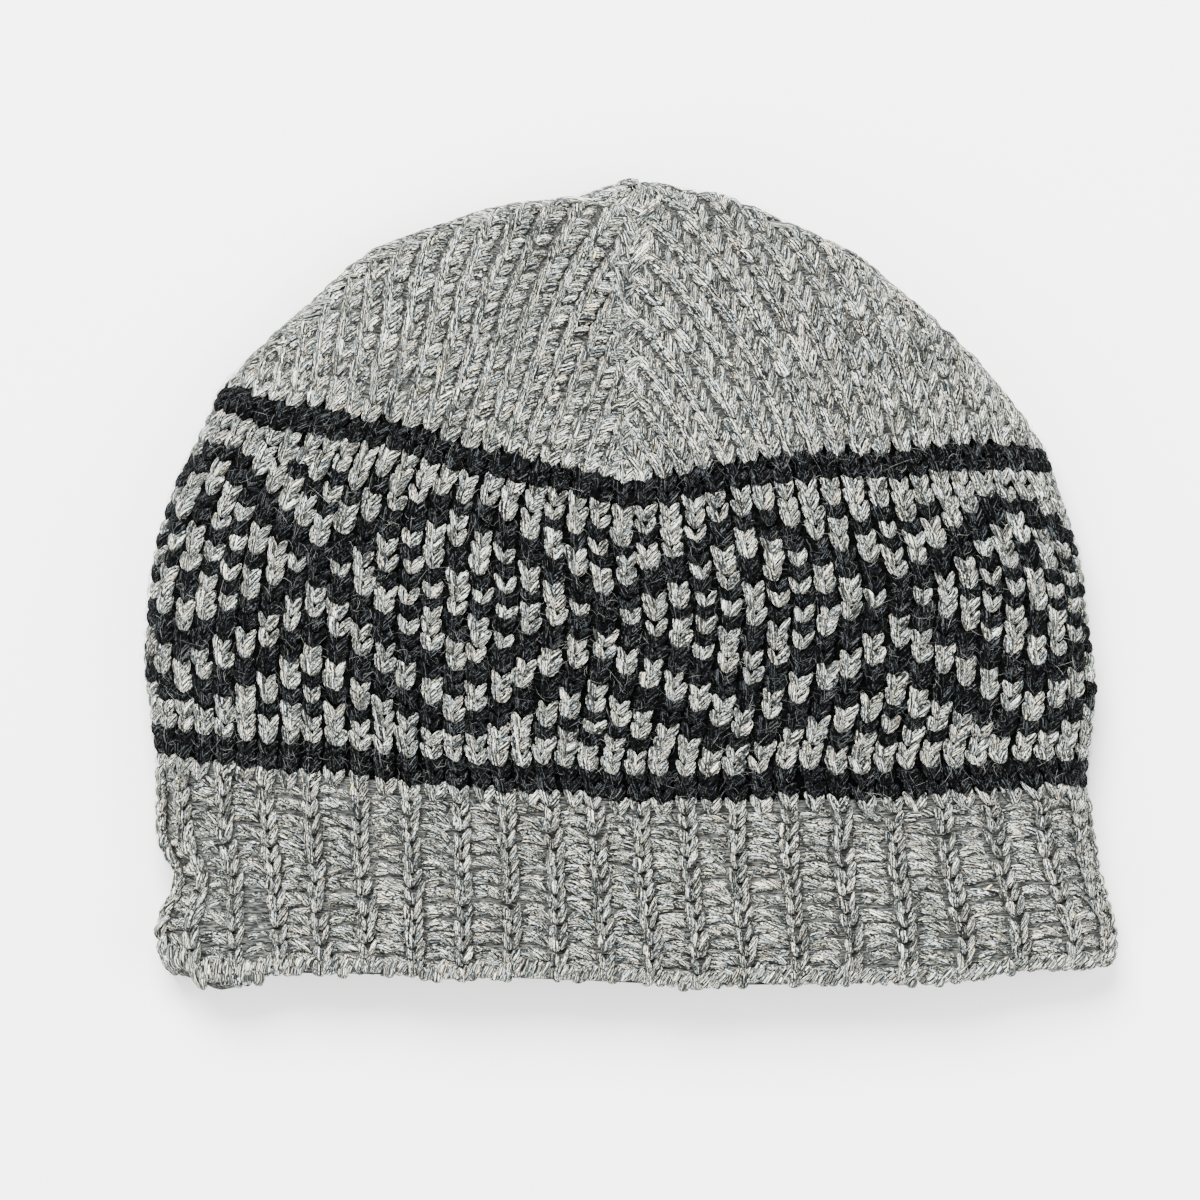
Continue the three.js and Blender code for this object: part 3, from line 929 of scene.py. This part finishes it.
def gather_tip():
    """The last stitches, drawn together at the tip, and the yarn's end that holds them."""
    count = GATHERED
    wales = np.arange(count)[:, None] * WALES / count
    jitter = chance(count, BAR_MOST)

    def path(t):
        t = np.broadcast_to(t, (count, t.shape[1]))
        course = GATHER_START + 0.2 * jitter[:, 0:1] + GATHER_CLIMB * t
        height = -0.5 + 0.3 * jitter[:, 1:2] - 0.5 * (2 * t - 1) ** 2
        return course, wales + GATHER_TURN * t, height

    points = lay_grains(path, np.full((count, 1), GATHER_WIDTH), GATHER_THICKNESS)
    local, tone = yarn_values(count, 8.0, GATHER_THICKNESS, GATHER_THICKNESS)
    tip = read_net(OUTER, np.array([TIP + 0.0]), np.array([FRONT_CENTRE]))[0]
    for start_x, start_y, heading, length in TIP_YARN:
        angle = math.radians(heading)
        onward = np.array([math.cos(angle), math.sin(angle), 0.0])
        side = np.array([onward[1], -onward[0], 0.0])
        up = np.array([0.0, 0.0, 1.0])
        start = tip + np.array([start_x, start_y, TIP_YARN_HEIGHT])
        piece = (start + onward * (GRAIN_POINTS[:, 1:2] + 0.5) * length
                 + side * GRAIN_POINTS[:, 0:1] * TIP_YARN_WIDTH
                 + up * GRAIN_POINTS[:, 2:3] * TIP_YARN_THICKNESS)
        points = np.concatenate([points, piece[None]])
    end_local, end_tone = yarn_values(len(TIP_YARN), 6.0, TIP_YARN_WIDTH, TIP_YARN_THICKNESS)
    values = (("yarn", "FLOAT_VECTOR", np.concatenate([local, end_local])),
              ("tone", "FLOAT", np.concatenate([tone, end_tone])))
    piece = joined_mesh("gathered_tip", points, GRAIN_FACES, values)
    finish_piece(piece, HEATHER, "heather_grey_wool", "crown")


def tube_wall(name, bottom, top, depth, shade, closed):
    """The fabric behind the stitches: a closed wall from under the yarn to the inner skin."""
    wale = np.arange(LEFT_FOLD, LEFT_FOLD + WALES, 0.5)
    course = np.linspace(bottom, top, max(2, int(round((top - bottom) * 2)) + 1))
    courses, wales = np.meshgrid(course, wale, indexing="ij")
    climbed = courses + jog_at(wales, courses)
    outside = read_net(OUTER, climbed, wales)
    inside = read_net(INNER, climbed, wales)
    sunk = np.minimum(depth + creased(wales, courses), WALL * 0.85)
    front = outside + (inside - outside) * (sunk / WALL)[..., None]
    front[..., 2] = np.maximum(front[..., 2], FABRIC_CLEARANCE)
    # On its inner side the fabric shows purl bumps, one ridge to a course.
    ridge = 0.5 + 0.5 * np.cos(2 * math.pi * (courses + 0.16 * np.cos(2 * math.pi * wales)))
    back = inside + (outside - inside) * ((0.55 * ridge - 0.1) / WALL)[..., None]
    levels = len(course)
    around = len(wale)
    points = np.concatenate([front.reshape(-1, 3), back.reshape(-1, 3)])
    level, column = np.meshgrid(np.arange(levels - 1), np.arange(around), indexing="ij")
    after = (column + 1) % around
    a = level * around + column
    b = level * around + after
    c = (level + 1) * around + after
    d = (level + 1) * around + column
    skin = np.stack([a, b, c, d], axis=-1).reshape(-1, 4)
    shift = levels * around
    faces = [skin, skin[:, ::-1] + shift]
    ring = np.arange(around)
    ring_after = (ring + 1) % around
    faces.append(np.stack([ring_after, ring, ring + shift, ring_after + shift], axis=-1))
    last = (levels - 1) * around
    if not closed:
        faces.append(np.stack([ring, ring_after, ring_after + shift, ring + shift], axis=-1) + last)
    quads = [tuple(face) for face in np.concatenate(faces)]
    if closed:
        quads.append(tuple(ring + last))
        quads.append(tuple(ring[::-1] + last + shift))
    knit = np.stack([wales, courses, 0 * wales], axis=-1).reshape(-1, 3)
    # The outer face, seen between the stitches, takes the zone's level of painted shade; the inner side
    # takes none.
    unshaded_share = np.concatenate([np.full(len(knit), shade), np.ones(len(knit))])
    values = (("knit", "FLOAT_VECTOR", np.concatenate([knit, knit + (0, 0, 5)])),
              ("unshaded_share", "FLOAT", unshaded_share))
    return joined_mesh(name, points[None], quads, values)


# The zones' walls stand a hair apart. The upper stripe's black wall ends behind the crown's
# first course, and the grey wall takes over there and ends where the stitches are gathered.
ZONE_GAP = 0.04
STRIPE_WALL_TOP = 0.66
CROWN_WALL_START = 0.7
CROWN_WALL_TOP = 58.0


def back_the_stitches():
    """One wall of fabric behind the stitches of each knit zone: how deep, and the level of painted shade
    on its outer face (0 is the darkest).
    """
    gap = ZONE_GAP
    zones = (
        ("brim_fabric", 0.0, BRIM_TOP - gap, 1.95, 0.06, GREY_INSIDE, "heather_grey_wool",
         "ribbed_brim"),
        ("lower_stripe_fabric", BRIM_TOP + gap, LOWER_STRIPE_TOP - gap, 1.7, 0.0, BLACK_INSIDE,
         "black_wool", "lower_stripe"),
        ("band_fabric", LOWER_STRIPE_TOP + gap, BAND_TOP - gap, 1.7, 0.0, FLOATS_INSIDE,
         "two_colour_wool", "patterned_band"),
        ("upper_stripe_fabric", BAND_TOP + gap, UPPER_STRIPE_TOP + STRIPE_WALL_TOP, 1.7, 0.0,
         BLACK_INSIDE, "black_wool", "upper_stripe"),
        ("crown_fabric", UPPER_STRIPE_TOP + CROWN_WALL_START, CROWN_WALL_TOP, 1.4, 0.0, GREY_INSIDE,
         "heather_grey_wool", "crown"),
    )
    for name, bottom, top, depth, shade, material, slot_name, node_name in zones:
        wall = tube_wall(name, bottom, top, depth, shade, node_name == "crown")
        finish_piece(wall, material, slot_name, node_name)


def loose_fibres(name, wales, courses, count, material, slot_name, *nodes):
    """Fine fibres that stand out of these stitches in short arcs, each a three-sided hair."""
    stitch = random.integers(0, len(wales), count)
    wale = wales[stitch] + random.uniform(-0.5, 0.5, count)
    course = courses[stitch] + random.uniform(-0.5, 0.5, count)
    heading = random.uniform(0, 2 * math.pi, count)
    length = random.gamma(3.0, 1.0, count) + 1.2
    bend = random.normal(0, 0.6, count)
    lift = np.abs(random.normal(0.2, 0.35, count))
    thickness = random.uniform(0.014, 0.030, count)
    points = []
    for station, full in zip((-0.5, -0.17, 0.17, 0.5), (0.0, 1.0, 1.0, 0.0)):
        angle = heading + bend * station * 2
        u = length * station * np.cos(angle) / WALE_PITCH
        v = length * station * np.sin(angle) / COURSE_PITCH
        height = (0.1 + lift) * (1 - (2 * station) ** 2) + lift * station * 1.5
        for corner in (0,) if full == 0 else (0, 1, 2):
            turn = corner * 2 * math.pi / 3
            sideways = thickness * full * math.cos(turn)
            du = -sideways * np.sin(angle) / WALE_PITCH
            dv = sideways * np.cos(angle) / COURSE_PITCH
            rise = height + thickness * full * math.sin(turn)
            at = np.clip(course + v + dv, -0.8, TIP - 0.4)
            points.append(on_fabric(at + jog_at(wale, at), wale + u + du, rise))
    points = np.stack(points, axis=1)
    points[..., 2] = np.maximum(points[..., 2], YARN_CLEARANCE)
    faces = [(0, 2, 1), (0, 3, 2), (0, 1, 3)]
    faces += [(1, 2, 5, 4), (2, 3, 6, 5), (3, 1, 4, 6)]
    faces += [(4, 5, 7), (5, 6, 7), (6, 4, 7)]
    tone = np.repeat(random.uniform(0, 1, (count, 1)), 8, axis=1)
    piece = joined_mesh(name, points, faces, (("tone", "FLOAT", tone),))
    finish_piece(piece, material, slot_name, *nodes)


GREY_FIBRES = 11000
STRAY_FIBRES = 2500
BLACK_FIBRES = 7000


def fuzz():
    """Loose fibres on the grey and on the black yarn."""
    wales, courses = stitch_net(range(WALES), range(LOWER_STRIPE_TOP, BAND_TOP))
    black = np.array([is_black(w, c) for w, c in zip(wales, courses)])
    brim_wales, brim_courses = stitch_net(range(WALES), range(BRIM_TOP))
    crown_wales, crown_courses = crown_stitch_list()
    grey_wales = np.concatenate([wales[~black], brim_wales, crown_wales])
    grey_courses = np.concatenate([courses[~black], brim_courses, crown_courses])
    loose_fibres("loose_grey_fibres", grey_wales, grey_courses, GREY_FIBRES, GREY_FIBRE,
                 "heather_grey_wool", "ribbed_brim", "patterned_band", "crown")
    low_wales, low_courses = stitch_net(range(WALES), range(BRIM_TOP, LOWER_STRIPE_TOP))
    high_wales, high_courses = stitch_net(range(WALES), range(BAND_TOP, UPPER_STRIPE_TOP))
    black_wales = np.concatenate([wales[black], low_wales, high_wales])
    black_courses = np.concatenate([courses[black], low_courses, high_courses])
    loose_fibres("stray_grey_fibres", black_wales, black_courses, STRAY_FIBRES, GREY_FIBRE,
                 "two_colour_wool", "lower_stripe", "patterned_band", "upper_stripe")
    loose_fibres("loose_black_fibres", black_wales, black_courses, BLACK_FIBRES, BLACK_FIBRE,
                 "black_wool", "lower_stripe", "patterned_band", "upper_stripe")


FLECK_LENGTH = 2.2
FLECK_WIDTH = 0.55
FLECK_THICKNESS = 0.3


def straw_flecks():
    """A few slivers of straw that were spun into the fleece."""
    wales = np.array([16.1, 15.6, 8.9, 27.3, 36.2, 52.4, 61.8, 75.1])
    courses = np.array([53.1, 51.4, 12.4, 44.6, 6.3, 18.2, 47.7, 8.8])
    heading = np.radians([100.0, 120.0, 70.0, 140.0, 30.0, 95.0, 60.0, 15.0])[:, None]

    def path(t):
        along = (np.broadcast_to(t, (len(wales), t.shape[1])) - 0.5) * FLECK_LENGTH
        course = courses[:, None] + along * np.sin(heading) / COURSE_PITCH
        wale = wales[:, None] + along * np.cos(heading) / WALE_PITCH
        return course, wale, 0.35 + 0 * course

    points = lay_grains(path, np.full((len(wales), 1), FLECK_WIDTH), FLECK_THICKNESS)
    local, tone = yarn_values(len(wales), FLECK_LENGTH, FLECK_WIDTH, FLECK_THICKNESS)
    values = (("yarn", "FLOAT_VECTOR", local), ("tone", "FLOAT", tone))
    flecks = joined_mesh("straw_flecks", points, GRAIN_FACES, values)
    finish_piece(flecks, STRAW, "heather_grey_wool", "ribbed_brim", "patterned_band", "crown")


def studio():
    """A plain pale floor and soft light from above."""
    bpy.ops.object.select_all(action="DESELECT")
    bpy.ops.mesh.primitive_plane_add(size=12)
    floor = bpy.context.object
    floor.name = "pale_floor"
    paper = empty_material("pale_paper_floor")
    shader = add_node(
        paper, "ShaderNodeBsdfPrincipled",
        inputs={"Base Color": linear("#fdfdfc"), "Roughness": 0.9, "Specular IOR Level": 0.1})
    add_node(paper, "ShaderNodeOutputMaterial", links={"Surface": shader.outputs["BSDF"]})
    floor.data.materials.append(paper)
    lamps = (
        ("key_light", (-0.30, 1.05, 1.5), 1.0, 150.0),
        ("fill_light", (1.3, -0.1, 1.3), 1.4, 50.0),
        ("front_light", (-0.9, -1.2, 1.2), 1.4, 46.0),
    )
    for name, place, size, power in lamps:
        lamp = bpy.data.lights.new(name, "AREA")
        lamp.size = size
        lamp.energy = power
        lit = bpy.data.objects.new(name, lamp)
        lit.location = place
        aim = -lit.location.normalized()
        lit.rotation_euler = aim.to_track_quat("-Z", "Y").to_euler()
        bpy.context.collection.objects.link(lit)
    world = bpy.data.worlds.new("pale_room")
    world.use_nodes = True
    background = world.node_tree.nodes["Background"]
    background.inputs["Color"].default_value = linear("#f6f7f8")
    background.inputs["Strength"].default_value = 1.15
    bpy.context.scene.world = world


# The picture is square, so many pixels wide, and each pixel is so many millimetres on the hat.
PHOTO_SIZE = 1200
PIXEL = 0.2526
PHOTO_MIDDLE = (600 - 629.5, 585.5 - 600)
CAMERA_DISTANCE = 2000.0
SENSOR = 36.0


def photo_camera():
    """A long lens straight above the hat, with the crown towards the top of the picture."""
    data = bpy.data.cameras.new("photo_camera")
    data.sensor_width = SENSOR
    data.lens = SENSOR * (CAMERA_DISTANCE - 2 * FOLD_HEIGHT) / (PHOTO_SIZE * PIXEL)
    data.clip_start = 0.1
    data.clip_end = 20
    camera = bpy.data.objects.new("photo_camera", data)
    camera.location = (PHOTO_MIDDLE[0] * PIXEL * MM, PHOTO_MIDDLE[1] * PIXEL * MM, CAMERA_DISTANCE * MM)
    bpy.context.collection.objects.link(camera)
    bpy.context.scene.camera = camera


photo_camera()
studio()
knit_brim()
knit_stripe("lower_stripe_stitches", BRIM_TOP, LOWER_STRIPE_TOP, "lower_stripe")
knit_band()
knit_stripe("upper_stripe_stitches", BAND_TOP, UPPER_STRIPE_TOP, "upper_stripe")
knit_crown()
gather_tip()
back_the_stitches()
fuzz()
straw_flecks()
